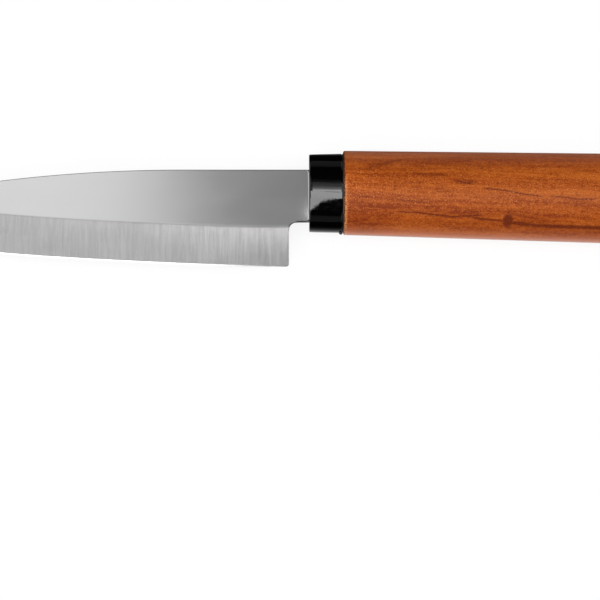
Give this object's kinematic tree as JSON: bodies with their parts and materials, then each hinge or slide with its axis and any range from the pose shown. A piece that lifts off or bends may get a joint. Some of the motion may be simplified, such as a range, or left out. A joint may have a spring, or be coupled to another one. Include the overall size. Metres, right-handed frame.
{
  "type": "paring knife",
  "caption": "Small kitchen knife: satin steel blade with a wide bevel and hidden tang, black oval ferrule and tapered oval wooden grip.",
  "frame": {"origin": "under the middle of the knife's box, on the surface it lies on", "axes": "+X along the knife towards the butt of the grip, +Y towards the spine, +Z square out of the blade's face, upwards"},
  "size_m": [0.2148, 0.028, 0.0186],
  "materials": {
    "blade_steel": "satin flats, finely ground bevels",
    "ferrule_plastic": "glossy black moulding",
    "grip_wood": "clear lacquer over reddish brown wood",
    "resin": "cured resin"
  },
  "bodies": {
    "root": {"blade": "blade_steel", "ferrule": "ferrule_plastic", "grip": "grip_wood", "tang_adhesive": "resin", "ferrule_adhesive": "resin"}
  },
  "joints": []
}
